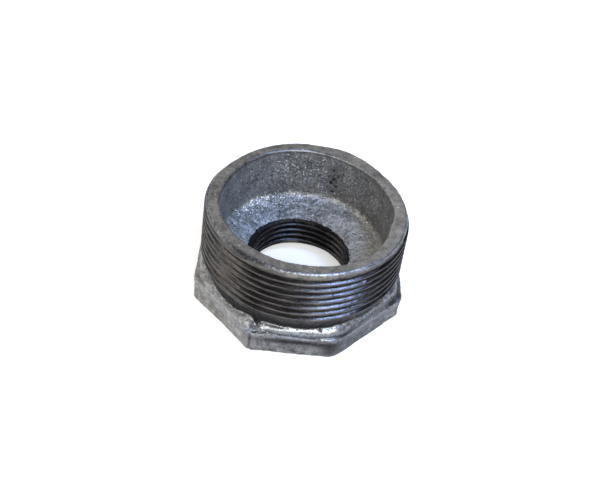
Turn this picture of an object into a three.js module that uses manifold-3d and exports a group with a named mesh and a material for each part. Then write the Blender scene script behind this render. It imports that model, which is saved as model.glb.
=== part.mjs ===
// Octagon-head reducing bush, 2 in male taper pipe thread by 1 in female taper pipe thread.
// One malleable-iron casting with both threads cut into it.
// Millimetres, +Z up. The origin is the centre of the head's end face; +Z points to the male end.
import * as THREE from "three";
import { mergeVertices } from "three/addons/utils/BufferGeometryUtils.js";
import Module from "manifold-3d";

// Thread form shared by both ends: 60 degree taper pipe thread, 11.5 threads per inch.
const inch = 25.4;
const pitch = inch / 11.5;
const threadDepth = 0.8 * pitch;
const flankAngle = Math.PI / 6;
const taper = 1 / 32; // change of radius per unit of length
const ridgeOverlap = 0.04; // depth that a ridge sinks into its core

// Male thread, 2 in.
const height = 32.7;
const malePitchRadius = (2.269 * inch) / 2; // at the small end
const maleThreadFoot = 12.6; // height at which the cut thread has run out
const runOutLength = 3; // above the thread foot, over which the crests grow to full depth
const rimEdgeRadius = 29.1;
const rimChamferLength = 1.3;
const firstCrestDrop = 3.5; // from the rim to the first full crest on the -Y side

// Female thread, 1 in.
const femalePitchRadius = (1.2386 * inch) / 2; // at the head's end face
const entryRadius = 18.4;
const entryDepth = 3.6;

// Head.
const acrossFlats = 60;
const flatHeight = 6.5;
const shoulderTop = 11;
const cornerRadius = 1.5;
const shoulderInset = 1.9;

// Recess in the male end.
const recessMouthRadius = 25.1;
const recessFootRadius = 24.2;
const recessFootHeight = 15.9;
const recessFillet = 2.4;
const floorEdgeRadius = 15.5;
const floorEdgeHeight = 13.2;
const boreLeadLength = 1.1; // plain chamfer between the recess floor and the female thread

// Facets to a turn.
const outerFacets = 32;
const boreFacets = 24;
const filletSteps = 3;
const cornerSteps = 3;
const cutMargin = 1; // how far a cutting solid runs past the face it opens
const mergeTolerance = 1e-4;
const trimClearance = 0.2; // gap between the full crests and the solid that trims the thread's ends

const zincIron = new THREE.MeshStandardMaterial({ color: 0x8e9196, roughness: 0.45, metalness: 0.85 });

const wasm = await Module();
wasm.setup();

function solidOf(geometry) {
  const bare = geometry.clone();
  bare.deleteAttribute("normal");
  bare.deleteAttribute("uv");
  const merged = mergeVertices(bare, mergeTolerance);
  return new wasm.Manifold(
    new wasm.Mesh({
      numProp: 3,
      vertProperties: new Float32Array(merged.attributes.position.array),
      triVerts: new Uint32Array(merged.index.array),
    }),
  );
}

function geometryOf(solid) {
  const mesh = solid.getMesh();
  const geometry = new THREE.BufferGeometry();
  geometry.setAttribute("position", new THREE.BufferAttribute(mesh.vertProperties, mesh.numProp));
  geometry.setIndex(new THREE.BufferAttribute(mesh.triVerts, 1));
  geometry.computeVertexNormals();
  return geometry;
}

// A solid of revolution about Z from (radius, height) pairs that start and end on the axis, bottom first.
function turned(profile, facets) {
  const points = profile.map(([radius, z]) => new THREE.Vector2(radius, z));
  return solidOf(new THREE.LatheGeometry(points, facets).rotateX(Math.PI / 2));
}

// A right-hand helix on a cone. Its frames keep the swept profile's x along Z and its y pointing outward.
class ConeHelix extends THREE.Curve {
  constructor(startAngle, startHeight, turns, radiusAt) {
    super();
    Object.assign(this, { startAngle, startHeight, turns, radiusAt });
  }

  angle(t) {
    return this.startAngle + 2 * Math.PI * this.turns * t;
  }

  getPoint(t) {
    const z = this.startHeight + pitch * this.turns * t;
    const radius = this.radiusAt(z);
    return new THREE.Vector3(radius * Math.cos(this.angle(t)), radius * Math.sin(this.angle(t)), z);
  }

  getPointAt(t) {
    return this.getPoint(t);
  }

  computeFrenetFrames(steps) {
    const frames = { tangents: [], normals: [], binormals: [] };
    for (let i = 0; i <= steps; i += 1) {
      const angle = this.angle(i / steps);
      frames.tangents.push(new THREE.Vector3(-Math.sin(angle), Math.cos(angle), 0));
      frames.normals.push(new THREE.Vector3(0, 0, 1));
      frames.binormals.push(new THREE.Vector3(Math.cos(angle), Math.sin(angle), 0));
    }
    return frames;
  }
}

// The thread ridge: a truncated 60 degree vee swept along a helix at the root radius.
function threadRidge(startAngle, startHeight, turns, rootRadiusAt, facets) {
  const flankRun = threadDepth * Math.tan(flankAngle);
  const crestHalf = (pitch - 2 * flankRun) / 4;
  const footHalf = crestHalf + (threadDepth + ridgeOverlap) * Math.tan(flankAngle);
  const corner = (x, y) => new THREE.Vector2(x, y - x * taper);
  const section = new THREE.Shape([
    corner(-footHalf, -ridgeOverlap),
    corner(footHalf, -ridgeOverlap),
    corner(crestHalf, threadDepth),
    corner(-crestHalf, threadDepth),
  ]);
  const extrudePath = new ConeHelix(startAngle, startHeight, turns, rootRadiusAt);
  return solidOf(new THREE.ExtrudeGeometry(section, { steps: turns * facets, extrudePath }));
}

const maleRootAt = (z) => malePitchRadius - threadDepth / 2 + (height - z) * taper;
const maleCrestAt = (z) => maleRootAt(z) + threadDepth;
const femaleMinorAt = (z) => femalePitchRadius - threadDepth / 2 - z * taper;

// The male end: a tapered core with its ridge, trimmed to the crest cone, the rim chamfer and the run-out.
function maleEnd() {
  const coreFoot = flatHeight / 2;
  const frontAngle = -Math.PI / 2;
  const ridgeTurns = Math.ceil((height - maleThreadFoot) / pitch) + 1;
  const ridgeTop = height - firstCrestDrop + 2 * pitch;
  const core = turned([[0, coreFoot], [maleRootAt(coreFoot), coreFoot], [maleRootAt(height), height], [0, height]],
    outerFacets);
  const ridge = threadRidge(frontAngle, ridgeTop - ridgeTurns * pitch, ridgeTurns, maleRootAt, outerFacets);
  const crestFoot = maleThreadFoot + runOutLength;
  const crestTop = height - rimChamferLength;
  const envelope = turned(
    [
      [0, coreFoot],
      [maleRootAt(coreFoot), coreFoot],
      [maleRootAt(maleThreadFoot), maleThreadFoot],
      [maleCrestAt(crestFoot) + trimClearance, crestFoot],
      [maleCrestAt(crestTop) + trimClearance, crestTop],
      [rimEdgeRadius, height],
      [0, height],
    ],
    outerFacets,
  );
  return core.add(ridge).intersect(envelope);
}

// An octagon with rounded corners and one flat facing -Y.
function octagon(inradius) {
  const shape = new THREE.Shape();
  const cornerReach = (inradius - cornerRadius) / Math.cos(Math.PI / 8);
  for (let i = 0; i < 8; i += 1) {
    const bearing = Math.PI / 8 + (i * Math.PI) / 4;
    const x = cornerReach * Math.cos(bearing);
    const y = cornerReach * Math.sin(bearing);
    shape.absarc(x, y, cornerRadius, bearing - Math.PI / 8, bearing + Math.PI / 8, false);
  }
  return shape;
}

// The wrench head: an octagonal prism with a sloped shoulder, rounded off under the male thread.
function head() {
  const prism = solidOf(
    new THREE.ExtrudeGeometry(octagon(acrossFlats / 2 - shoulderInset), {
      depth: flatHeight,
      curveSegments: cornerSteps,
      bevelSize: shoulderInset,
      bevelThickness: shoulderTop - flatHeight,
      bevelSegments: 1,
    }),
  );
  const reach = acrossFlats / 2 / Math.cos(Math.PI / 8);
  const topRadius = maleRootAt(shoulderTop);
  const shoulder = turned(
    [[0, 0], [reach, 0], [reach, flatHeight], [topRadius, shoulderTop], [0, shoulderTop]],
    outerFacets,
  );
  return prism.intersect(shoulder);
}

// The cast recess: tapered wall, filleted foot and a floor that falls to the bore.
function recess() {
  const profile = [[0, floorEdgeHeight - boreLeadLength]];
  profile.push([femaleMinorAt(floorEdgeHeight), floorEdgeHeight - boreLeadLength]);
  profile.push([floorEdgeRadius, floorEdgeHeight]);
  for (let i = 0; i <= filletSteps; i += 1) {
    const turn = (i / filletSteps) * (Math.PI / 2);
    profile.push([
      recessFootRadius - recessFillet * (1 - Math.sin(turn)),
      recessFootHeight + recessFillet * (1 - Math.cos(turn)),
    ]);
  }
  const wallSlope = (recessMouthRadius - recessFootRadius) / (height - recessFootHeight - recessFillet);
  profile.push([recessMouthRadius + wallSlope * cutMargin, height + cutMargin]);
  profile.push([0, height + cutMargin]);
  return turned(profile, outerFacets);
}

// The tap: the tool shape that leaves the female thread and its entry chamfer.
function tap() {
  const top = floorEdgeHeight + cutMargin;
  const entrySlope = (entryRadius - femaleMinorAt(entryDepth)) / entryDepth;
  const ridgeTurns = Math.ceil((top + 2 * pitch) / pitch);
  const core = turned([[0, -cutMargin], [femaleMinorAt(-cutMargin), -cutMargin], [femaleMinorAt(top), top], [0, top]],
    boreFacets);
  const ridge = threadRidge(0, -pitch, ridgeTurns, femaleMinorAt, boreFacets);
  const entry = turned(
    [[0, -cutMargin], [entryRadius + entrySlope * cutMargin, -cutMargin], [femaleMinorAt(entryDepth), entryDepth],
      [0, entryDepth]],
    boreFacets,
  );
  return core.add(ridge).add(entry);
}

const bush = head().add(maleEnd()).subtract(recess()).subtract(tap());

const body = new THREE.Mesh(geometryOf(bush), zincIron);
body.name = "reducing_bush_body";

const group = new THREE.Group();
group.add(body);

export default group;
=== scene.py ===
"""Looks for the octagon-head reducing bush: one galvanised casting with a cut thread outside and inside.

Lengths are in millimetres in the part's frame, and MM turns them into metres. A bearing is an angle about +Z,
measured from -Y towards +X, so the flat that faces -Y is at bearing 0.
"""
import math

import bpy
import numpy as np
from mathutils import Matrix, Vector, noise


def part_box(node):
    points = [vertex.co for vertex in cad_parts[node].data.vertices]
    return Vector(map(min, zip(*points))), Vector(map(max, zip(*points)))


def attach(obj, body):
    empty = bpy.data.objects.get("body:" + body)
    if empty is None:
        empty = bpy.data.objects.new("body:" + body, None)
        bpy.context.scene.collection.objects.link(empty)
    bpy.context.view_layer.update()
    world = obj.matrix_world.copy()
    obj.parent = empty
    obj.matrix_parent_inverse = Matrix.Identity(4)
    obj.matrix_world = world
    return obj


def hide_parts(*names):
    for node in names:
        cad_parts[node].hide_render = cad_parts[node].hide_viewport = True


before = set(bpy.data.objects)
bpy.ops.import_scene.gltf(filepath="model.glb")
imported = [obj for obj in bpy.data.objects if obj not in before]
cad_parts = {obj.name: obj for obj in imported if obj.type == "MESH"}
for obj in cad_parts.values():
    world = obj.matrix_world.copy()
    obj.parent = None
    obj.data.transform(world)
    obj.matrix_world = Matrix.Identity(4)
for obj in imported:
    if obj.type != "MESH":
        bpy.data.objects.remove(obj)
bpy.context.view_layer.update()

MM = 0.001
NODE = "reducing_bush_body"
box_low, box_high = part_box(NODE)
HEIGHT = (box_high.z - box_low.z) / MM

# Both threads: 11.5 to the inch, 60 degrees, right-hand, 1 in 16 taper on the diameter.
PITCH = 25.4 / 11.5
MALE_DEPTH = 0.64 * PITCH
FEMALE_DEPTH = 0.8 * PITCH
TAPER = 1 / 32
MALE_CREST_AT_RIM = 29.70
FEMALE_MINOR_AT_FACE = 14.85
FIRST_CREST_DROP = 3.5
FEMALE_CREST_LIFT = 1.3
# The form of a thread, in pitches: half the widths of a crest and a root, and where one turn has its rows.
CREST_HALF_WIDTH = 0.09
ROOT_HALF_WIDTH = 0.035
THREAD_ROWS = (0.0, 0.08, 0.12, 0.22, 0.34, 0.44, 0.5, 0.56, 0.7, 0.88, 0.92)
# Spare turns of rows are laid out, and rows past an end of the thread, or this near to it, are dropped.
SPARE_TURNS = 3
ROW_MARGIN = 0.04
# The male thread fades in above the neck, and a chamfer cuts its first crest.
THREAD_FOOT = 12.5
NECK_RADIUS = 28.5
NECK_BEND = 3
FADE_START = 13.0
FADE_END = 15.8
CHAMFER_SLOPE = 0.4
CHAMFER_OUT = 0.1
RIM_GAP = 0.15
# Ragged teeth of casting are left where the thread starts, round this bearing.
TEETH_BEARING = -42
TEETH_SPREAD = 24
TEETH_FOOT = 30.3
TEETH_RISE = 0.5
TEETH_INSET = 0.1
TEETH_SIZE = 2.5
TEETH_SEED = 5.5
TEETH_EDGE = 0.3

# Head: the eight flats from bearing 0 on, the corners after them, and the rounding of the foot.
FLAT_RADII = (29.3, 29.1, 31.4, 30.3, 30.0, 30.2, 30.9, 29.45)
CORNER_SHARPNESS = (34, 110, 150, 150, 150, 130, 150, 300)
FRONT_RADIUS = 29.3
FOOT_EDGE = 0.9
FLAT_HOLLOW = 0.1
LIP_BEND = 5
# The bevel starts just above the crease, and the brow above it turns this far towards the neck.
CREASE_WIDTH = 0.12
BEVEL_INSET = 0.1
BROW_TURN = math.radians(50)
BROW_SHARE = 0.75
BROW_LEAST = 0.1
BROW_GAP = 0.1
# The flat left of the front one stands proud of it at their corner.
PROUD_BEARING = -24.2
PROUD_STEP = 0.6
PROUD_WIDTH = 22.0

# Rim, recess and bore.
RIM_EDGE = 0.9
MOUTH_EDGE = 0.7
RECESS_FOOT_RADIUS = 24.3
RECESS_FOOT = 15.7
RECESS_FILLET = 2.2
RECESS_LOBES = 3
LOBE_DEPTH = 0.25
LOBE_BEARING = math.radians(135)
FLOOR_BEND = 1.1
BORE_EDGE = 15.45
BORE_EDGE_SHIFT = -1.0
BORE_EDGE_LEAST = 14.8
BORE_EDGE_HEIGHT = 13.2
BORE_LEAD = 1.0
LEAD_INSET = 0.25
LEAD_BEND = 0.8
LEAD_ROWS = (0.06, 0.3, 0.65, 1.0)
ENTRY_RADIUS = 18.4
ENTRY_DEPTH = 3.3

# How ragged an edge is: millimetres in or out, the size of its waves in degrees, and its seed.
BROW_RAGGED = (0.15, 5, 1.5)
RIM_OUT_RAGGED = (0.06, 4, 2.5)
RIM_IN_RAGGED = (0.08, 4, 3.5)
BORE_RAGGED = (0.45, 3, 4.5)

# Tables of (bearing, value), drawn smoothly round the part. The head's shape comes first: how far the lip at
# the top of a flat stands out, what share of the outline past FRONT_RADIUS the shoulder loses, and the
# heights of the crease and the brow.
LIP = ((-180, 0.15), (-75, 0.15), (-60, 0.0), (-24, 0.0), (-18, 0.4), (24, 0.4), (45, 0.15), (180, 0.15))
INSET = ((-180, 0.5), (-75, 0.5), (-55, 0.2), (-25, 0.15), (-23, 0.5), (180, 0.5))
CREASE = ((-180, 6.4), (-110, 6.6), (-75, 7.8), (-60, 8.6), (-32, 8.8), (-26, 8.0), (-24, 7.3), (-20, 7.6),
          (-12, 8.1), (-3, 8.0), (6, 7.5), (14, 7.7), (22, 7.6), (45, 7.5), (70, 7.2), (110, 6.4), (180, 6.4))
BROW = ((-180, 11.0), (-130, 10.6), (-90, 10.6), (-60, 10.0), (-45, 9.3), (-38, 9.3), (-34, 9.8), (-30, 10.2),
        (-27, 10.0), (-26, 9.6), (-25, 8.9), (-24, 7.4), (-23, 7.5), (-22, 8.5), (-20.5, 9.9), (-19, 10.4),
        (-12, 10.5), (0, 10.5), (15, 10.7), (25, 11.0), (37, 12.0), (54, 12.2), (75, 11.6), (110, 10.8),
        (180, 11.0))
# The outer and inner radius of the rim.
RIM_OUT = ((-180, 29.3), (-160, 29.2), (-145, 28.8), (-130, 28.5), (-115, 28.8), (-95, 29.3), (0, 29.15),
           (60, 29.2), (95, 29.0), (115, 28.7), (135, 28.8), (150, 29.5), (160, 29.8), (172, 29.2),
           (180, 29.3))
RIM_IN = ((-180, 25.1), (-160, 25.3), (-140, 25.0), (-112, 24.6), (-95, 25.1), (-84, 25.5), (-40, 25.2),
          (0, 25.1), (40, 26.0), (52, 25.3), (66, 24.9), (76, 24.3), (88, 25.0), (112, 24.7), (150, 24.6),
          (180, 25.1))
# How glossy or matt the head is, and how dirty the ledge above the shoulder and the neck are. Gloss also sets
# how strongly the shoulder's painted highlights, painted shade and painted blue sheen are laid on.
GLOSS = ((-180, 0.3), (-75, 0.1), (-25, 0.0), (-24, 0.3), (-22, 1.0), (45, 1.0), (75, 0.4), (180, 0.3))
MATT = ((-180, 0.0), (-90, 0.3), (-60, 1.0), (-24, 1.0), (-23, 0.0), (180, 0.0))
LEDGE_DIRT = ((-180, 0.2), (-75, 0.1), (-50, 0.0), (50, 0.0), (80, 0.2), (180, 0.2))
NECK_DIRT = ((-180, 0.5), (-60, 0.4), (-42, 0.6), (-28, 1.0), (30, 0.9), (60, 0.5), (180, 0.5))
# How light the flats, the shoulder, the male thread, the rim, the recess wall and the recess floor are: their
# tone, with painted light and shade that makes one side lighter and another darker.
SIDE_TONE_AND_SHADE = ((-180, 0.0), (-80, 0.2), (-26, 0.2), (-23, -0.4), (12, -0.45), (20, -0.9), (32, -0.7),
             (60, -0.7), (110, 0.0), (180, 0.0))
SHOULDER_TONE_AND_SHADE = ((-180, 0.0), (-75, 0.4), (-26, 0.4), (-23, 0.1), (-18, 0.2), (22, 0.1), (30, -0.5),
                 (60, -0.7), (110, 0.0), (180, 0.0))
THREAD_TONE_AND_SHADE = ((-180, -0.2), (-75, -0.1), (-45, 0.0), (-26, -0.4), (-8, -0.35), (8, 0.0), (35, 0.0),
               (48, -0.42), (180, -0.2))
RIM_TONE_AND_SHADE = ((-180, -0.4), (-90, -0.42), (0, -0.3), (60, 0.05), (110, 0.05), (180, -0.4))
WALL_TONE_AND_SHADE = ((-180, 0.1), (-110, 0.45), (80, 0.4), (110, 0.25), (140, 0.15), (180, 0.1))
FLOOR_TONE_AND_SHADE = ((-180, -0.1), (-90, 0.6), (0, 0.2), (60, 0.85), (110, 0.8), (180, -0.1))
SMOOTHING = np.array((1, 2, 1)) / 4

# Rows of mesh across each stretch of the outline, counted with both of its ends.
ROWS = {"under": 8, "foot": 5, "flat": 16, "bevel": 8, "brow": 10, "neck": 4, "rim edge": 7, "rim": 11,
        "mouth": 5, "wall": 28, "fillet": 9, "floor": 20, "entry": 6}
UNDER_SPACING = 1.2  # above 1, the rows of the end face crowd towards the chamfer
COLUMNS = 360
QUARTER_TURN = math.pi / 2
bearing = np.arange(COLUMNS) * 2 * math.pi / COLUMNS
bearing_deg = (np.degrees(bearing) + 180) % 360 - 180


def smoothstep(low, high, x):
    t = np.clip((x - low) / (high - low), 0, 1)
    return t * t * (3 - 2 * t)


def column(values):
    return np.asarray(values, float)[:, None]


def row(values):
    return np.asarray(values, float)[None, :]


def blend(a, b, t):
    return a + (b - a) * t


def steps(stretch, first=True, last=True):
    """Even steps from 0 to 1 across a stretch of the outline, with or without its two ends."""
    even = np.linspace(0, 1, ROWS[stretch])
    return row(even[0 if first else 1:None if last else -1])


def around(table):
    """A value for every bearing, drawn smoothly through a table of (bearing in degrees, value)."""
    places, values = (np.array(part, float) for part in zip(*table))
    straight = np.interp(bearing_deg, places, values)
    reach = len(SMOOTHING) // 2
    joined = np.concatenate([straight[-reach:], straight, straight[:reach]])
    return column(np.convolve(joined, SMOOTHING, "valid"))


JITTER_ROUGHNESS = 0.7
JITTER_OCTAVES = 3
GRAIN_ROUGHNESS = 0.6
GRAIN_SHIFT = Vector((7.3, 2.9, 5.1))
FINER = 2.0  # how much finer each octave of noise is than the one before


def jitter(size_deg, seed):
    """A ragged value from about -1 to 1 for every bearing."""
    spread = 1 / math.radians(size_deg)
    circle = (Vector((math.sin(b), math.cos(b), seed)) * spread for b in bearing)
    return np.array([noise.fractal(place, JITTER_ROUGHNESS, FINER, JITTER_OCTAVES) for place in circle])


def ragged(amount, size_deg, seed):
    return column(amount * jitter(size_deg, seed))


def octagon_radius():
    """Polar radius of the head's outline, with a softer or sharper corner at each end of a flat."""
    flats_count = len(FLAT_RADII)
    flat_bearing = np.arange(flats_count) * 2 * math.pi / flats_count
    turn = np.cos(bearing[:, None] - flat_bearing[None, :])
    nearest = np.floor(np.degrees(bearing) * flats_count / 360).astype(int) % flats_count
    power = np.array(CORNER_SHARPNESS, float)[nearest][:, None]
    reach = np.maximum(turn, 0) / np.array(FLAT_RADII)[None, :]
    furthest = reach.max(1)
    share = ((reach / furthest[:, None]) ** power).sum(1) ** (1 / power[:, 0])
    radius = 1 / (furthest * share)
    proud = (bearing_deg < PROUD_BEARING) * np.clip(1 - (PROUD_BEARING - bearing_deg) / PROUD_WIDTH, 0, 1)
    return column(radius + PROUD_STEP * proud)


def bore_edge_radius():
    """The edge of the recess floor round the bore: off centre, but held to a least radius, and ragged."""
    shifted = column(BORE_EDGE + BORE_EDGE_SHIFT * np.sin(bearing))
    return np.maximum(shifted, BORE_EDGE_LEAST) + ragged(*BORE_RAGGED)


def male_root(z):
    return MALE_CREST_AT_RIM - MALE_DEPTH + (HEIGHT - z) * TAPER


def female_minor(z):
    return FEMALE_MINOR_AT_FACE - z * TAPER


head_radius = octagon_radius()
crease = around(CREASE)
brow = around(BROW) + ragged(*BROW_RAGGED)
lip = around(LIP)
rim_out = around(RIM_OUT) + ragged(*RIM_OUT_RAGGED)
rim_in = around(RIM_IN) + ragged(*RIM_IN_RAGGED)
recess_foot = RECESS_FOOT_RADIUS + LOBE_DEPTH * np.cos(RECESS_LOBES * (column(bearing) - LOBE_BEARING))
bore_edge = bore_edge_radius()
all_round = 0 * head_radius

# How bright the zinc is worn on the edges of the foot, the shoulder and rim, and the mouth.
FOOT_WEAR = 0.6
EDGE_WEAR = 0.5
MOUTH_WEAR = 0.3
# Painted highlight and shade on the shoulder, laid on as strongly as it is glossy: how much lighter the lip
# and the brow are painted, and how much darker the bevel and the ledge.
LIP_PAINTED_HIGHLIGHT = 0.7
BEVEL_PAINTED_SHADE = -0.95
BROW_PAINTED_HIGHLIGHT = 1.15
LEDGE_PAINTED_SHADE = -0.6
# The stretch of the brow where its painted highlight rises, where the ledge's painted shade darkens it again,
# and where the dirt sets in.
LIT_BROW = (0, 0.5)
DARK_LEDGE = (0.6, 1)
DIRTY_LEDGE = (0.2, 0.8)
# How fast wear and painted light fade away from an edge.
FLAT_WEAR_BEND = 8
BEVEL_WEAR_BEND = 6
LIP_LIGHT_BEND = 4
MALE_GROOVE = 0.8
LEAD_GROOVE = 0.6
ENTRY_CUT = 0.8


class Section:
    """Rows of the closed outline. A row has a key, and a radius, a height and fields in each column."""

    FIELDS = ("cut", "groove", "wear_and_highlight", "gloss", "matt", "scuff", "shade", "soil")

    def __init__(self, name, radius, height, helical=False, **fields):
        shape = np.broadcast(radius, height, all_round).shape
        self.name = name
        self.radius = np.broadcast_to(radius, shape).astype(float)
        self.height = np.broadcast_to(height, shape).astype(float)
        self.helical = helical
        self.keys = np.arange(shape[1])
        self.valid = np.ones(shape, bool)
        self.fields = {k: np.broadcast_to(fields.get(k, 0.0), shape).astype(float) for k in self.FIELDS}


def under_face():
    t = steps("under", last=False) ** UNDER_SPACING
    return Section("under", blend(ENTRY_RADIUS, head_radius - FOOT_EDGE, t), 0 * t)


def foot_edge():
    turn = steps("foot", last=False) * QUARTER_TURN
    radius = head_radius - FOOT_EDGE * (1 - np.sin(turn))
    height = FOOT_EDGE * (1 - np.cos(turn))
    return Section("flat", radius, height, wear_and_highlight=FOOT_WEAR * np.sin(2 * turn), shade=around(SIDE_TONE_AND_SHADE))


def flats():
    """The flats, very slightly hollow, up to the lip at their top."""
    t = steps("flat")
    radius = head_radius + lip * t ** LIP_BEND - FLAT_HOLLOW * np.sin(math.pi * t)
    return Section("flat", radius, blend(FOOT_EDGE, crease, t), wear_and_highlight=EDGE_WEAR * t ** FLAT_WEAR_BEND,
                   matt=around(MATT), shade=around(SIDE_TONE_AND_SHADE))


def shoulder():
    """The bevel above the crease, and the rounded brow that meets the rough neck."""
    top = head_radius + lip - BEVEL_INSET - around(INSET) * (head_radius - FRONT_RADIUS)
    reach = top - NECK_RADIUS
    room = np.maximum(BROW_SHARE * (brow - crease), BROW_LEAST)
    tall = np.minimum(reach * math.sin(BROW_TURN) / (1 - math.cos(BROW_TURN)), room)
    t = steps("bevel", first=False)
    bevel_radius = blend(head_radius + lip, top, t)
    bevel_height = blend(crease + CREASE_WIDTH, brow - tall, t)
    up = steps("brow", first=False)
    turn = BROW_TURN * up
    brow_radius = top - reach * (1 - np.cos(turn)) / (1 - math.cos(BROW_TURN))
    brow_height = brow - tall * (1 - np.sin(turn) / math.sin(BROW_TURN))
    wear_and_highlight = EDGE_WEAR * np.hstack([(1 - t) ** BEVEL_WEAR_BEND, np.sin(2 * turn)])
    soil = around(LEDGE_DIRT) * np.hstack([0 * t, smoothstep(*DIRTY_LEDGE, up)])
    # Painted highlight on the lip and the brow, and painted shade down the bevel and on the ledge, scaled by
    # gloss.
    bevel_painted_light = LIP_PAINTED_HIGHLIGHT * (1 - t) ** LIP_LIGHT_BEND + BEVEL_PAINTED_SHADE * np.sin(QUARTER_TURN * t)
    brow_painted_light = BEVEL_PAINTED_SHADE + BROW_PAINTED_HIGHLIGHT * smoothstep(*LIT_BROW, up)
    brow_painted_light = brow_painted_light + LEDGE_PAINTED_SHADE * smoothstep(*DARK_LEDGE, up)
    gloss = around(GLOSS)
    shade = around(SHOULDER_TONE_AND_SHADE) + gloss * np.hstack([bevel_painted_light, brow_painted_light])
    return Section("shoulder", np.hstack([bevel_radius, brow_radius]), np.hstack([bevel_height, brow_height]),
                   wear_and_highlight=wear_and_highlight, gloss=gloss, matt=around(MATT), soil=soil, shade=shade)


def neck():
    t = steps("neck", first=False)
    radius = blend(NECK_RADIUS, male_root(THREAD_FOOT), t ** NECK_BEND)
    return Section("neck", radius, blend(brow + BROW_GAP, THREAD_FOOT, t), soil=around(NECK_DIRT))


def vee(offset):
    """Ridge height from 0 at the root to 1 at the crest, for an offset in pitches from a crest."""
    away = np.abs(offset - np.round(offset))
    flank = 0.5 - CREST_HALF_WIDTH - ROOT_HALF_WIDTH
    return 1 - np.clip((away - CREST_HALF_WIDTH) / flank, 0, 1)


def helical_rows(crest_height, low, high):
    """Heights of rows that follow the thread, which of them lie between low and high, and their ridge."""
    first = math.floor((low - crest_height) / PITCH) - 1
    turns = math.ceil((high - low) / PITCH) + SPARE_TURNS
    places = row((np.arange(turns)[:, None] + first + np.array(THREAD_ROWS)[None, :]).ravel())
    heights = crest_height + PITCH * (places + column(bearing) / (2 * math.pi))
    margin = ROW_MARGIN * PITCH
    inside = (heights > low + margin) & (heights < high - margin)
    return heights, inside, vee(places + all_round)


def male_thread():
    """The outside thread: it fades in above the neck, and a ragged chamfer cuts its first crest."""
    z, inside, ridge = helical_rows(HEIGHT - FIRST_CREST_DROP, THREAD_FOOT, HEIGHT - RIM_EDGE - RIM_GAP)
    faded_in = smoothstep(FADE_START, FADE_END, z)
    ridge = ridge * faded_in
    chamfer = rim_out + CHAMFER_OUT + (HEIGHT - z) * CHAMFER_SLOPE
    radius = np.minimum(male_root(z) + MALE_DEPTH * ridge, chamfer)
    near = np.exp(-((bearing_deg - TEETH_BEARING) / TEETH_SPREAD) ** 2)
    bites = near * smoothstep(0, TEETH_EDGE, jitter(TEETH_SIZE, TEETH_SEED))
    teeth = column(bites) * smoothstep(TEETH_FOOT, TEETH_FOOT + TEETH_RISE, z)
    radius = blend(radius, np.maximum(radius, rim_out - TEETH_INSET), teeth)
    section = Section("male", radius, z, helical=True, cut=1.0, groove=MALE_GROOVE * (1 - ridge),
                      scuff=1 - faded_in, shade=around(THREAD_TONE_AND_SHADE))
    section.valid = inside
    return section


def rim():
    """The rounded outer edge, the flat end face and the rounded mouth of the recess."""
    turn = steps("rim edge") * QUARTER_TURN
    outer_radius = rim_out - RIM_EDGE * (1 - np.cos(turn))
    outer_height = HEIGHT - RIM_EDGE * (1 - np.sin(turn)) + all_round
    t = steps("rim", first=False, last=False)
    face_radius = blend(rim_out - RIM_EDGE, rim_in + MOUTH_EDGE, t)
    mouth_turn = steps("mouth") * QUARTER_TURN
    mouth_radius = rim_in + MOUTH_EDGE * (1 - np.sin(mouth_turn))
    mouth_height = HEIGHT - MOUTH_EDGE * (1 - np.cos(mouth_turn)) + all_round
    wear_and_highlight = np.hstack([EDGE_WEAR * np.sin(2 * turn), 0 * t, MOUTH_WEAR * np.sin(2 * mouth_turn)])
    return Section("rim", np.hstack([outer_radius, face_radius, mouth_radius]),
                   np.hstack([outer_height, HEIGHT + 0 * face_radius, mouth_height]), wear_and_highlight=wear_and_highlight,
                   shade=around(RIM_TONE_AND_SHADE))


def recess_wall():
    t = steps("wall", first=False)
    height = blend(HEIGHT - MOUTH_EDGE, RECESS_FOOT + RECESS_FILLET, t)
    return Section("wall", blend(rim_in, recess_foot, t), height, shade=around(WALL_TONE_AND_SHADE))


def recess_floor():
    """The fillet at the foot of the wall, and the floor that falls to the edge of the bore."""
    turn = steps("fillet", first=False) * QUARTER_TURN
    fillet_radius = recess_foot - RECESS_FILLET * (1 - np.cos(turn))
    fillet_height = RECESS_FOOT + RECESS_FILLET * (1 - np.sin(turn)) + all_round
    t = steps("floor", first=False)
    floor_radius = blend(recess_foot - RECESS_FILLET, bore_edge, t)
    floor_height = blend(RECESS_FOOT, BORE_EDGE_HEIGHT, t ** FLOOR_BEND) + all_round
    radius = np.hstack([fillet_radius, floor_radius])
    height = np.hstack([fillet_height, floor_height])
    return Section("floor", radius, height, shade=around(FLOOR_TONE_AND_SHADE))


def bore_lead():
    """The ragged chamfer between the recess floor and the female thread."""
    t = row(LEAD_ROWS)
    low = BORE_EDGE_HEIGHT - BORE_LEAD
    radius = blend(bore_edge, female_minor(low) + LEAD_INSET, t ** LEAD_BEND)
    return Section("lead", radius, blend(BORE_EDGE_HEIGHT, low, t), cut=1.0, groove=LEAD_GROOVE)


def female_thread():
    z, inside, ridge = helical_rows(FEMALE_CREST_LIFT, ENTRY_DEPTH, BORE_EDGE_HEIGHT - BORE_LEAD)
    radius = female_minor(z) + FEMALE_DEPTH * (1 - ridge)
    section = Section("female", radius[:, ::-1], z[:, ::-1], helical=True, cut=1.0, groove=1 - ridge[:, ::-1])
    section.keys = section.keys[::-1].copy()
    section.valid = inside[:, ::-1]
    return section


def entry_chamfer():
    t = steps("entry", last=False)
    return Section("entry", blend(ENTRY_RADIUS - ENTRY_DEPTH, ENTRY_RADIUS, t), blend(ENTRY_DEPTH, 0, t),
                   cut=ENTRY_CUT)


KEYS_APART = 1000  # more than the rows of any section, so that no two sections share a key


def outline():
    sections = [under_face(), foot_edge(), flats(), shoulder(), neck(), male_thread(), rim(), recess_wall(),
                recess_floor(), bore_lead(), female_thread(), entry_chamfer()]
    for order, section in enumerate(sections):
        section.keys = section.keys + KEYS_APART * (order + 1)
    return sections


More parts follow.
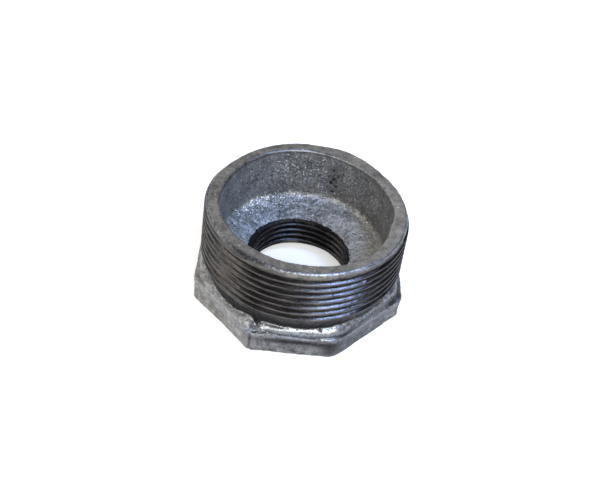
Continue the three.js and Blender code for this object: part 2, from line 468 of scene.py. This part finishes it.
def zip_columns(left, right, left_keys, right_keys, faces):
    """Joins two neighbouring columns into quads, with a triangle where a row starts or stops between them."""
    left_set, right_set = set(left_keys), set(right_keys)
    n_left, n_right = len(left), len(right)
    i = j = 0
    while i < n_left or j < n_right:
        a, b = left[i % n_left], right[j % n_right]
        next_left = left_keys[(i + 1) % n_left] if i < n_left else None
        next_right = right_keys[(j + 1) % n_right] if j < n_right else None
        if next_left is not None and next_left == next_right:
            faces.append((a, b, right[(j + 1) % n_right], left[(i + 1) % n_left]))
            i += 1
            j += 1
        elif next_left is not None and next_left not in right_set:
            faces.append((a, b, left[(i + 1) % n_left]))
            i += 1
        elif next_right is not None and next_right not in left_set:
            faces.append((a, b, right[(j + 1) % n_right]))
            j += 1
        else:
            raise RuntimeError(f"the rows of two columns don't match: {next_left}, {next_right}")


def build_grid(sections):
    """Vertices, faces and fields of the whole closed surface."""
    radius = np.hstack([s.radius for s in sections])
    height = np.hstack([s.height for s in sections])
    valid = np.hstack([s.valid for s in sections])
    keys = np.concatenate([s.keys for s in sections])
    helical = np.concatenate([np.full(len(s.keys), s.helical) for s in sections])
    order = np.concatenate([np.full(len(s.keys), i) for i, s in enumerate(sections)])
    ids = np.full(valid.shape, -1)
    ids[valid] = np.arange(valid.sum())
    turn = np.repeat(bearing[:, None], valid.shape[1], axis=1)
    points = np.stack([radius * np.sin(turn), -radius * np.cos(turn), height], axis=-1)[valid]
    faces = []
    for c in range(COLUMNS):
        following = (c + 1) % COLUMNS
        left, right = valid[c], valid[following]
        right_keys = keys[right]
        if following == 0:
            right_keys = np.where(helical[right], right_keys - len(THREAD_ROWS), right_keys)
        zip_columns(ids[c][left].tolist(), ids[following][right].tolist(), keys[left].tolist(),
                    right_keys.tolist(), faces)
    fields = {name: np.hstack([s.fields[name] for s in sections])[valid] for name in Section.FIELDS}
    fields["section"] = np.repeat(order[None, :], COLUMNS, axis=0)[valid]
    return points, faces, fields


TINY = 1e-12


def vertex_normals(points, faces):
    normals = np.zeros_like(points)
    for size in (3, 4):
        corners = np.array([f for f in faces if len(f) == size])
        if not len(corners):
            continue
        across = points[corners[:, 2]] - points[corners[:, 0]]
        other = points[corners[:, size - 1]] - points[corners[:, 1]]
        face_normals = np.cross(across, other)
        for k in range(size):
            np.add.at(normals, corners[:, k], face_normals)
    return normals / np.maximum(np.linalg.norm(normals, axis=1, keepdims=True), TINY)


def grain(points, size, octaves, shift=0.0):
    """Fractal noise from about -1 to 1 whose largest features are `size` millimetres."""
    moved = (Vector(p + shift) / size + GRAIN_SHIFT for p in points)
    return np.array([noise.fractal(place, GRAIN_ROUGHNESS, FINER, octaves) for place in moved])


# Each section's skin, in the order of SKIN_FIELDS. Bumps and waves are in millimetres, tone is how light the
# section is, and the rest are strengths.
SKIN_FIELDS = ("bumps", "waves", "sand", "tone", "blotch", "blue", "dirt_and_shade", "pits")
SKIN = {
    "under": (0.05, 0.0, 0.5, 0.0, 1.2, 0.0, 0.1, 0.0),
    "flat": (0.11, 0.15, 0.45, 0.1, 1.1, 0.0, 0.0, 0.0),
    "shoulder": (0.13, 0.22, 0.6, -0.05, 1.3, 0.0, -0.05, 0.0),
    "neck": (0.22, 0.2, 1.0, -1.5, 1.3, 0.0, 0.1, 0.6),
    "male": (0.03, 0.0, 0.15, 0.0, 1.0, 0.0, 0.0, 0.0),
    "rim": (0.06, 0.06, 0.3, -0.05, 0.62, 0.0, 0.0, 0.0),
    "wall": (0.15, 0.2, 1.2, 0.0, 0.9, 0.8, -0.15, 0.2),
    "floor": (0.18, 0.25, 1.2, 0.0, 1.3, 0.5, -0.05, 0.1),
    "lead": (0.12, 0.15, 0.6, -0.6, 1.0, 0.3, 0.6, 0.2),
    "female": (0.03, 0.0, 0.15, -0.6, 1.0, 0.6, 0.0, 0.0),
    "entry": (0.05, 0.05, 0.3, -0.1, 1.0, 0.0, 0.1, 0.0),
}

# Marks on the skin: bearing, radius, height; widths round the axis, out from it and up it; push out; how much
# darker the mark is, and how much brighter when it is below 0. Some dark marks are dirt and some painted
# shade; some bright ones are bare metal and some painted highlights.
MARKS = (
    # the notch beside the proud corner, with painted shade in it; painted highlights on the end of the front
    # bevel beside it; and the seam down the corner, with a painted shadow line along it
    (-24.2, 30.2, 9.2, 0.5, 1.5, 1.2, -0.4, 1.0),
    (-20.8, 29.3, 9.3, 1.6, 1.5, 1.0, 0.1, -1.4),
    (-23.0, 30.8, 7.5, 0.6, 1.0, 0.4, 0.05, -0.9),
    (-23.8, 31.6, 3.5, 0.35, 1.5, 4.0, -0.15, 0.4),
    # a nick in the brow with painted shade in it, a bright burr on the thread, and a nick and two shallow
    # dents in the rim
    (13.5, 29.0, 11.0, 0.35, 1.5, 1.6, -0.4, 0.9),
    (35.5, 29.5, 27.6, 0.45, 0.8, 0.3, 0.35, -0.9),
    (128, 27.9, 32.7, 1.4, 0.6, 0.8, -0.5, 0.4),
    (-158, 27.6, 32.7, 2.2, 1.0, 0.8, -0.05, 0.3),
    (-167, 26.6, 32.7, 1.2, 0.6, 0.8, -0.05, 0.3),
    # darker marks on the rim's outer edge, painted shade across the top of the front flat, and a darker patch
    # low on the front-right corner
    (-32, 28.9, 32.4, 8.0, 0.7, 1.0, 0.0, 0.6),
    (-110, 29.0, 32.4, 25.0, 0.35, 0.8, 0.0, 0.45),
    (-2, 29.5, 5.6, 12.0, 3.0, 1.2, 0.0, 0.6),
    (20, 31.0, 3.8, 4.0, 3.0, 3.0, 0.0, 0.35),
    # a row of pits down the wall of the recess, in a shallow dirty hollow
    (161, 24.8, 27.5, 0.6, 1.5, 0.5, -0.4, 0.9),
    (157, 24.7, 25.6, 0.5, 1.5, 0.5, -0.4, 0.9),
    (160, 24.7, 24.2, 0.8, 1.5, 0.5, -0.4, 0.9),
    (162, 24.6, 22.4, 0.6, 1.5, 0.7, -0.4, 0.9),
    (158, 24.5, 21.5, 0.5, 1.5, 0.4, -0.4, 0.9),
    (160, 24.4, 19.4, 0.7, 1.5, 0.5, -0.4, 0.9),
    (160, 24.8, 24.0, 2.2, 1.5, 5.0, -0.1, 0.15),
)
# The places, as for a mark, of a patch of painted glints high on the recess wall and a pitted one on its
# floor.
SPARKLING = (-165, 24.8, 26.0, 14.0, 3.0, 5.0)
PITTED = (60, 19.0, 14.5, 9.0, 5.0, 2.0)
PITTED_STRENGTH = 0.25
# Blue is strongest a quarter turn to the left of this bearing.
BLUE_FROM = math.radians(20)
BLUE_MEAN = 0.55
BLUE_SWING = 0.45
# The fillet of the recess is lumpy round this bearing.
LUMPS_BEARING = -140
LUMPS_SPREAD = 35
LUMPS_LIFT = 0.6
LUMPS_TALL = 1.3
LUMPS_HEIGHT = 0.3
# What gloss takes from the bumps, the sand and the blotches, the blue it adds as a painted blue reflection,
# and what matt takes.
GLOSS_OFF_BUMPS = 0.7
GLOSS_OFF_SAND = 0.5
GLOSS_OFF_BLOTCH = 0.55
MATT_OFF_BLOTCH = 0.25
GLOSS_BLUE_SHEEN = 1.2
# How many painted glints the sand, the lumps and the sparkling patch bring.
SAND_GLINT = 0.4
LUMP_GLINT = 1.6
PATCH_GLINT = 0.5
# Size in millimetres and octaves of the skin's bumps, waves, pits and lumps. The last two are shifted.
BUMPS = (1.1, 3)
WAVES = (7.0, 2)
PIT_HOLES = (1.7, 2, 40)
LUMPS = (1.5, 2, 20)
PIT_LEAST = 0.35
PIT_DEPTH = 2.4
SCUFF_BUMPS = 0.12
SCUFF_DIRT = 0.45


def turn_from(points, at):
    """Degrees of bearing from `at` to each point, from -180 to 180."""
    turn = np.degrees(np.arctan2(points[:, 0], -points[:, 1])) - at
    return (turn + 180) % 360 - 180


def mark_strength(points, place):
    at, radius, height, wide, deep, tall = place
    out = np.hypot(points[:, 0], points[:, 1]) - radius
    arc = np.radians(turn_from(points, at)) * radius
    return np.exp(-((arc / wide) ** 2 + (out / deep) ** 2 + ((points[:, 2] - height) / tall) ** 2))


def lumpy(points):
    """Where the fillet of the recess is lumpy: at its foot, round one side."""
    side = np.exp(-(turn_from(points, LUMPS_BEARING) / LUMPS_SPREAD) ** 2)
    foot = np.exp(-((points[:, 2] - RECESS_FOOT - LUMPS_LIFT) / LUMPS_TALL) ** 2)
    within = np.hypot(points[:, 0], points[:, 1]) < RECESS_FOOT_RADIUS + 1
    return side * foot * (within & (points[:, 2] > RECESS_FOOT - 1))


def paint(points, fields, sections):
    """Adds each section's skin to the fields, and then gloss, scuffs, marks and patches."""
    table = np.array([SKIN[s.name] for s in sections])[fields["section"]]
    fields.update(zip(SKIN_FIELDS, table.T.copy()))
    fields["bumps"] *= 1 - GLOSS_OFF_BUMPS * fields["gloss"]
    fields["bumps"] += SCUFF_BUMPS * fields["scuff"]
    fields["sand"] *= 1 - GLOSS_OFF_SAND * fields["gloss"]
    fields["blotch"] *= 1 - GLOSS_OFF_BLOTCH * fields["gloss"] - MATT_OFF_BLOTCH * fields["matt"]
    fields["blue"] += GLOSS_BLUE_SHEEN * fields["gloss"]
    fields["blue"] *= BLUE_MEAN - BLUE_SWING * np.sin(np.arctan2(points[:, 0], -points[:, 1]) - BLUE_FROM)
    fields["glint"] = SAND_GLINT * fields["sand"] + LUMP_GLINT * lumpy(points)
    fields["glint"] += PATCH_GLINT * mark_strength(points, SPARKLING)
    # The painted light and shade by side and along the shoulder goes into the tone.
    fields["tone"] += fields["shade"]
    fields["dirt_and_shade"] += fields["soil"] + SCUFF_DIRT * fields["scuff"]
    fields["pits"] += PITTED_STRENGTH * mark_strength(points, PITTED)
    # A mark darkens the skin with dirt and pits, or brightens it when below 0; some marks are painted shade
    # and some painted highlights.
    for *place, _, darkening in MARKS:
        strength = mark_strength(points, place)
        fields["dirt_and_shade"] += max(darkening, 0) * strength
        fields["pits"] += max(darkening, 0) * strength
        fields["wear_and_highlight"] += max(-darkening, 0) * strength


def cast_surface(points, normals, fields):
    """Pushes the skin in and out: bumps, slow waves, pits, lumps and marks."""
    pits = np.clip(grain(points, *PIT_HOLES) - PIT_LEAST, 0, 1)
    push = fields["bumps"] * (grain(points, *BUMPS) - PIT_DEPTH * pits)
    push += fields["waves"] * grain(points, *WAVES)
    push += LUMPS_HEIGHT * lumpy(points) * grain(points, *LUMPS)
    for *place, out, _ in MARKS:
        push += out * mark_strength(points, place)
    moved = points + normals * push[:, None]
    moved[:, 2] = np.maximum(moved[:, 2], 0)
    return moved


# The fields that the material reads.
PAINTED = ("cut", "groove", "wear_and_highlight", "gloss", "matt", "sand", "glint", "tone", "blotch", "blue", "dirt_and_shade",
           "pits")


def make_body():
    sections = outline()
    points, faces, fields = build_grid(sections)
    paint(points, fields, sections)
    points = cast_surface(points, vertex_normals(points, faces), fields)
    mesh = bpy.data.meshes.new("reducing_bush")
    mesh.from_pydata((points * MM).tolist(), [], faces)
    mesh.validate()
    for name in PAINTED:
        layer = mesh.attributes.new(name, "FLOAT", "POINT")
        layer.data.foreach_set("value", fields[name].astype(np.float32))
    mesh.shade_smooth()
    body = bpy.data.objects.new("reducing_bush", mesh)
    bpy.context.scene.collection.objects.link(body)
    return body


# The Mix node's sockets for the factor, A and B, by the kind of data it mixes.
COLOUR_SOCKETS = (0, 6, 7)
VALUE_SOCKETS = (0, 2, 3)


class Nodes:
    """A short way to add shader nodes and link them."""

    def __init__(self, tree):
        self.tree = tree

    def put(self, socket, value):
        if isinstance(value, bpy.types.NodeSocket):
            self.tree.links.new(value, socket)
        else:
            socket.default_value = value

    def add(self, kind, inputs=None, **settings):
        node = self.tree.nodes.new(kind)
        for name, value in settings.items():
            setattr(node, name, value)
        for name, value in (inputs or {}).items():
            self.put(node.inputs[name], value)
        return node

    def attribute(self, name):
        return self.add("ShaderNodeAttribute", attribute_name=name).outputs["Fac"]

    def maths(self, operation, a, b=0.0, clamp=False):
        node = self.add("ShaderNodeMath", operation=operation, use_clamp=clamp)
        self.put(node.inputs[0], a)
        self.put(node.inputs[1], b)
        return node.outputs[0]

    def total(self, *parts):
        """The sum of (value, weight) pairs."""
        out = None
        for value, weight in parts:
            term = self.maths("MULTIPLY", value, weight)
            out = term if out is None else self.maths("ADD", out, term)
        return out

    def over(self, value, threshold, gain):
        """0 up to the threshold, then rising by `gain` to 1."""
        return self.maths("MULTIPLY", self.maths("SUBTRACT", value, threshold), gain, clamp=True)

    def noise(self, coords, size_mm, detail, roughness):
        inputs = {"Vector": coords, "Scale": 1 / (size_mm * MM), "Detail": detail, "Roughness": roughness}
        return self.add("ShaderNodeTexNoise", inputs).outputs["Fac"]

    def ramp(self, fac, stops):
        node = self.add("ShaderNodeValToRGB", {"Fac": fac})
        elements = node.color_ramp.elements
        while len(elements) < len(stops):
            elements.new(0.5)
        for element, (place, colour) in zip(elements, stops):
            element.position = place
            element.color = (*colour, 1)
        return node.outputs["Color"]

    def mix_colour(self, fac, a, b, blend_type="MIX"):
        node = self.add("ShaderNodeMix", data_type="RGBA", blend_type=blend_type)
        for place, value in zip(COLOUR_SOCKETS, (fac, a, b)):
            self.put(node.inputs[place], value)
        return node.outputs[2]

    def mix_value(self, fac, a, b):
        node = self.add("ShaderNodeMix", data_type="FLOAT")
        for place, value in zip(VALUE_SOCKETS, (fac, a, b)):
            self.put(node.inputs[place], value)
        return node.outputs[0]


# Colours by how light the mottling is.
ZINC = ((0.36, (0.081, 0.078, 0.073)), (0.46, (0.19, 0.183, 0.171)), (0.54, (0.299, 0.288, 0.268)),
        (0.64, (0.511, 0.496, 0.463)))
STEEL = ((0.36, (0.054, 0.05, 0.047)), (0.5, (0.098, 0.091, 0.087)), (0.66, (0.175, 0.165, 0.158)))
BLUE_TINT = (0.89, 1.0, 1.13, 1)
DIRT_AND_SHADE_COLOUR = (0.02, 0.019, 0.018, 1)
BARE_ZINC_AND_HIGHLIGHT = (0.62, 0.63, 0.65, 1)
CREST_STEEL = (0.17, 0.15, 0.132, 1)
PIT = (0.02, 0.02, 0.022, 1)
SPARK = (0.85, 0.84, 0.8, 1)
WHITE = (1, 1, 1, 1)
BLACK = (0, 0, 0, 1)
# Size in millimetres, detail and roughness of each noise in the material.
CLOUDS = (5.0, 3.0, 0.55)
MOTTLE = (1.6, 4.0, 0.65)
SPECKS = (0.7, 3.0, 0.6)
FINE_SAND = (0.35, 2.0, 0.5)
HOLES = (0.8, 1.0, 0.5)
SPARKS = (0.55, 1.0, 0.5)
STREAKS = (1.2, 4.0, 0.65)
STREAK_STRETCH = (0.22, 0.22, 4.0)
# The value at which an effect starts, and how fast it rises from there.
WORN = (0.42, 6.0)
ON_CREST = (0.86, 8.0)
POLISHED = (0.4, 6.0)
DARKENED = (0.66, 2.4)
HOLLOWED = (0.7, 14.0)
SPARKED = (0.73, 12.0)
DARKENING_SHARE = 0.92
SPECKLED_SHARE = 0.5
BUMP_DISTANCE = 0.3
ZINC_METALLIC = 0.8
STEEL_METALLIC = 0.85


def zinc_skin(n, mottle, speck, clouds, field):
    """Colour and roughness of the zinc coat: mottled, bluer or glossier in places, lighter or darker by a
    tone that carries painted light and shade, worn bright on edges, and bright at painted highlights.
    """
    grainy = n.maths("MULTIPLY", field["sand"], SPECKLED_SHARE)
    mixed = n.total((clouds, 0.3), (n.mix_value(grainy, mottle, speck), 0.7), (-0.5, 1.0))
    light = n.total((mixed, field["blotch"]), (field["tone"], 0.15), (0.5, 1.0))
    plain = n.ramp(light, ZINC)
    colour = n.mix_colour(field["blue"], plain, n.mix_colour(1.0, plain, BLUE_TINT, "MULTIPLY"))
    # Bright zinc on worn edges, and on the marks that are painted highlights.
    bare_and_highlight = n.maths("MULTIPLY", field["wear_and_highlight"], n.over(speck, *WORN), clamp=True)
    rough = n.total((mottle, 0.3), (speck, 0.15), (bare_and_highlight, -0.12), (field["gloss"], -0.12),
                    (field["matt"], 0.25), (0.17, 1.0))
    return n.mix_colour(bare_and_highlight, colour, BARE_ZINC_AND_HIGHLIGHT), rough


def cut_steel(n, place, groove, tone):
    """Colour and roughness of the cut thread: streaked round the axis, darker on the sides where its tone
    carries painted shade, and polished on the crests.
    """
    stretched = n.add("ShaderNodeMapping", {"Vector": place, "Scale": STREAK_STRETCH}).outputs["Vector"]
    streaks = n.noise(stretched, *STREAKS)
    lit = n.total((groove, 0.05), (tone, 1.0), (0.95, 1.0))
    colour = n.mix_colour(n.maths("MAXIMUM", lit, 0.0), BLACK, n.ramp(streaks, STEEL))
    ridge = n.maths("SUBTRACT", 1.0, groove)
    crest = n.maths("MULTIPLY", n.over(ridge, *ON_CREST), n.over(streaks, *POLISHED))
    polished = n.maths("MULTIPLY", crest, n.total((tone, 1.0), (0.8, 1.0)))
    rough = n.total((streaks, 0.25), (groove, 0.1), (crest, 0.12), (0.1, 1.0))
    return n.mix_colour(polished, colour, CREST_STEEL), rough


def galvanised_iron():
    """Zinc coat where `cut` is 0 and cut thread where it is 1, with dirt and painted shade, pits, and painted
    glints over both.
    """
    material = bpy.data.materials.new("galvanised_iron")
    material.use_nodes = True
    material.node_tree.nodes.clear()
    n = Nodes(material.node_tree)
    place = n.add("ShaderNodeTexCoord").outputs["Object"]
    field = {name: n.attribute(name) for name in PAINTED}
    noises = (CLOUDS, MOTTLE, SPECKS, FINE_SAND, HOLES, SPARKS)
    clouds, mottle, speck, sand, holes, sparks = (n.noise(place, *kind) for kind in noises)
    zinc, zinc_rough = zinc_skin(n, mottle, speck, clouds, field)
    steel, steel_rough = cut_steel(n, place, field["groove"], field["tone"])

    colour = n.mix_colour(field["cut"], zinc, steel)
    # Darkening by dirt, and by the painted shade of some marks, with mottle and clouds.
    darkening = n.over(n.total((field["dirt_and_shade"], 1.0), (mottle, 0.8), (clouds, 0.3)), *DARKENED)
    colour = n.mix_colour(n.maths("MULTIPLY", darkening, DARKENING_SHARE), colour, DIRT_AND_SHADE_COLOUR)
    hollow = n.over(n.total((holes, 1.0), (field["pits"], 0.16)), *HOLLOWED)
    colour = n.mix_colour(hollow, colour, PIT)
    # Painted glints: near-white specks mixed into the colour where the glint field is high, fewer on cut
    # steel and dirt.
    sparkle = n.total((sparks, 1.0), (field["glint"], 0.13), (field["cut"], -0.3), (field["dirt_and_shade"], -0.2))
    spark = n.over(sparkle, *SPARKED)
    colour = n.mix_colour(spark, colour, SPARK)

    skin_rough = n.mix_value(field["cut"], zinc_rough, steel_rough)
    rough = n.total((skin_rough, 1.0), (darkening, 0.2), (hollow, 0.3), (spark, -0.12))
    relief = n.total((speck, 0.5), (sand, 0.4), (mottle, 0.5), (hollow, -0.8), (spark, 0.3))
    uneven = {"Height": relief, "Distance": BUMP_DISTANCE * MM, "Strength": field["sand"]}
    normal = n.add("ShaderNodeBump", uneven).outputs["Normal"]
    metallic = n.mix_value(field["cut"], ZINC_METALLIC, STEEL_METALLIC)
    surface = {"Base Color": colour, "Metallic": metallic, "Roughness": rough, "Normal": normal}
    shader = n.add("ShaderNodeBsdfPrincipled", surface)
    out = n.add("ShaderNodeOutputMaterial")
    n.put(out.inputs["Surface"], shader.outputs["BSDF"])
    return material


def camera_only(n, seen, reflected):
    """One colour for the camera and another for everything the part reflects."""
    is_camera = n.add("ShaderNodeLightPath").outputs["Is Camera Ray"]
    return n.mix_colour(is_camera, reflected, seen)


FLOOR_SIZE = 6  # metres
FLOOR_GAP = 0.05
FLOOR_COLOUR = (0.85, 0.835, 0.81, 1)
FLOOR_ROUGHNESS = 0.9
FLOOR_SPECULAR = 0.1
FLOOR_GLOW = (0.5, 0.5, 0.5, 1)
REFLECTED_GLOW = (0.15, 0.15, 0.15, 1)


def floor():
    bpy.ops.mesh.primitive_plane_add(size=FLOOR_SIZE, location=(0, 0, -FLOOR_GAP * MM))
    plane = bpy.context.object
    plane.name = "floor"
    material = bpy.data.materials.new("pale_floor")
    material.use_nodes = True
    n = Nodes(material.node_tree)
    shader = material.node_tree.nodes["Principled BSDF"]
    n.put(shader.inputs["Base Color"], FLOOR_COLOUR)
    n.put(shader.inputs["Roughness"], FLOOR_ROUGHNESS)
    n.put(shader.inputs["Specular IOR Level"], FLOOR_SPECULAR)
    n.put(shader.inputs["Emission Color"], camera_only(n, FLOOR_GLOW, REFLECTED_GLOW))
    n.put(shader.inputs["Emission Strength"], 1.0)
    plane.data.materials.append(material)


# Softboxes: name, bearing, elevation, distance in metres, width and height in metres, watts, colour.
SOFTBOXES = (
    ("key", 20, 46, 0.6, 0.14, 0.16, 0.85, (0.9, 0.95, 1.0)),
    ("strip", -14, 40, 0.7, 1.25, 0.2, 3.0, (1.0, 0.98, 0.95)),
    ("thread_sheen", 60, 66, 0.7, 0.22, 0.2, 3.4, (0.36, 0.54, 1.0)),
    ("left", -104, 55, 0.8, 0.33, 0.22, 0.75, (1.0, 0.93, 0.86)),
    ("behind", 180, 43, 1.0, 0.9, 0.5, 1.6, (1.0, 0.99, 0.98)),
)
# The world's brightness by the height of the direction, from level to straight up.
SKY = ((0.0, (0.8, 0.8, 0.8)), (0.45, (0.55, 0.55, 0.55)), (0.64, (0.28, 0.28, 0.28)),
       (0.84, (0.07, 0.07, 0.075)), (1.0, (0.03, 0.03, 0.035)))
# The studio is dimmer on this side, at bearing 115, from this near to it and rising this fast.
DIM_SIDE = (0.906, 0.423, 0.0)
DIMMED = (0.4, 4.0)
DIM_SHARE = 0.7


def towards(bearing_at, elevation):
    """The direction out from the part at a bearing and an elevation in radians."""
    level = math.cos(elevation)
    return Vector((math.sin(bearing_at) * level, -math.cos(bearing_at) * level, math.sin(elevation)))


def softbox(name, bearing_at, elevation, distance, width, height, power, colour):
    data = bpy.data.lights.new(name, "AREA")
    data.shape = "RECTANGLE"
    data.size = width
    data.size_y = height
    data.energy = power
    data.color = colour
    light = bpy.data.objects.new(name, data)
    direction = towards(math.radians(bearing_at), math.radians(elevation))
    light.location = Vector((0, 0, HEIGHT / 2 * MM)) + direction * distance
    light.rotation_euler = direction.to_track_quat("Z", "Y").to_euler()
    bpy.context.scene.collection.objects.link(light)


def studio():
    for box in SOFTBOXES:
        softbox(*box)
    world = bpy.data.worlds.new("studio")
    bpy.context.scene.world = world
    world.use_nodes = True
    world.node_tree.nodes.clear()
    n = Nodes(world.node_tree)
    direction = n.add("ShaderNodeTexCoord").outputs["Generated"]
    up = n.add("ShaderNodeSeparateXYZ", {"Vector": direction}).outputs["Z"]
    compared = {0: direction, 1: DIM_SIDE}
    facing = n.add("ShaderNodeVectorMath", compared, operation="DOT_PRODUCT").outputs["Value"]
    dimmed = n.maths("MULTIPLY", n.over(facing, *DIMMED), DIM_SHARE)
    sky = n.mix_colour(dimmed, n.ramp(up, SKY), BLACK)
    background = n.add("ShaderNodeBackground", {"Color": camera_only(n, WHITE, sky)})
    out = n.add("ShaderNodeOutputWorld")
    n.put(out.inputs["Surface"], background.outputs[0])
    bpy.context.scene.view_settings.view_transform = "Standard"


CAMERA_BEARING = math.radians(-3.79)
CAMERA_ELEVATION = math.radians(42.93)
CAMERA_ROLL = math.radians(8.54)
CAMERA_DISTANCE = 255.7
CAMERA_LENS = 50.8
NEAREST_SEEN = 0.01  # metres
TARGET_HEIGHT = 14.35
TARGET_SHIFT = (-0.41, -0.1)


def camera():
    """Looks down at the rim from 43 degrees above the floor, almost square on to the front flat."""
    back = towards(CAMERA_BEARING, CAMERA_ELEVATION)
    level = Vector((math.cos(CAMERA_BEARING), math.sin(CAMERA_BEARING), 0))
    up = back.cross(level)
    cam_right = level * math.cos(CAMERA_ROLL) + up * math.sin(CAMERA_ROLL)
    cam_up = up * math.cos(CAMERA_ROLL) - level * math.sin(CAMERA_ROLL)
    target = Vector((0, 0, TARGET_HEIGHT)) + cam_right * TARGET_SHIFT[0] + cam_up * TARGET_SHIFT[1]
    data = bpy.data.cameras.new("camera")
    data.lens = CAMERA_LENS
    data.clip_start = NEAREST_SEEN
    cam = bpy.data.objects.new("camera", data)
    matrix = Matrix((cam_right, cam_up, back)).transposed().to_4x4()
    matrix.translation = (target + back * CAMERA_DISTANCE) * MM
    cam.matrix_world = matrix
    bpy.context.scene.collection.objects.link(cam)
    bpy.context.scene.camera = cam


body = make_body()
body.data.materials.append(galvanised_iron())
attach(body, "root")
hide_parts(NODE)
floor()
studio()
camera()
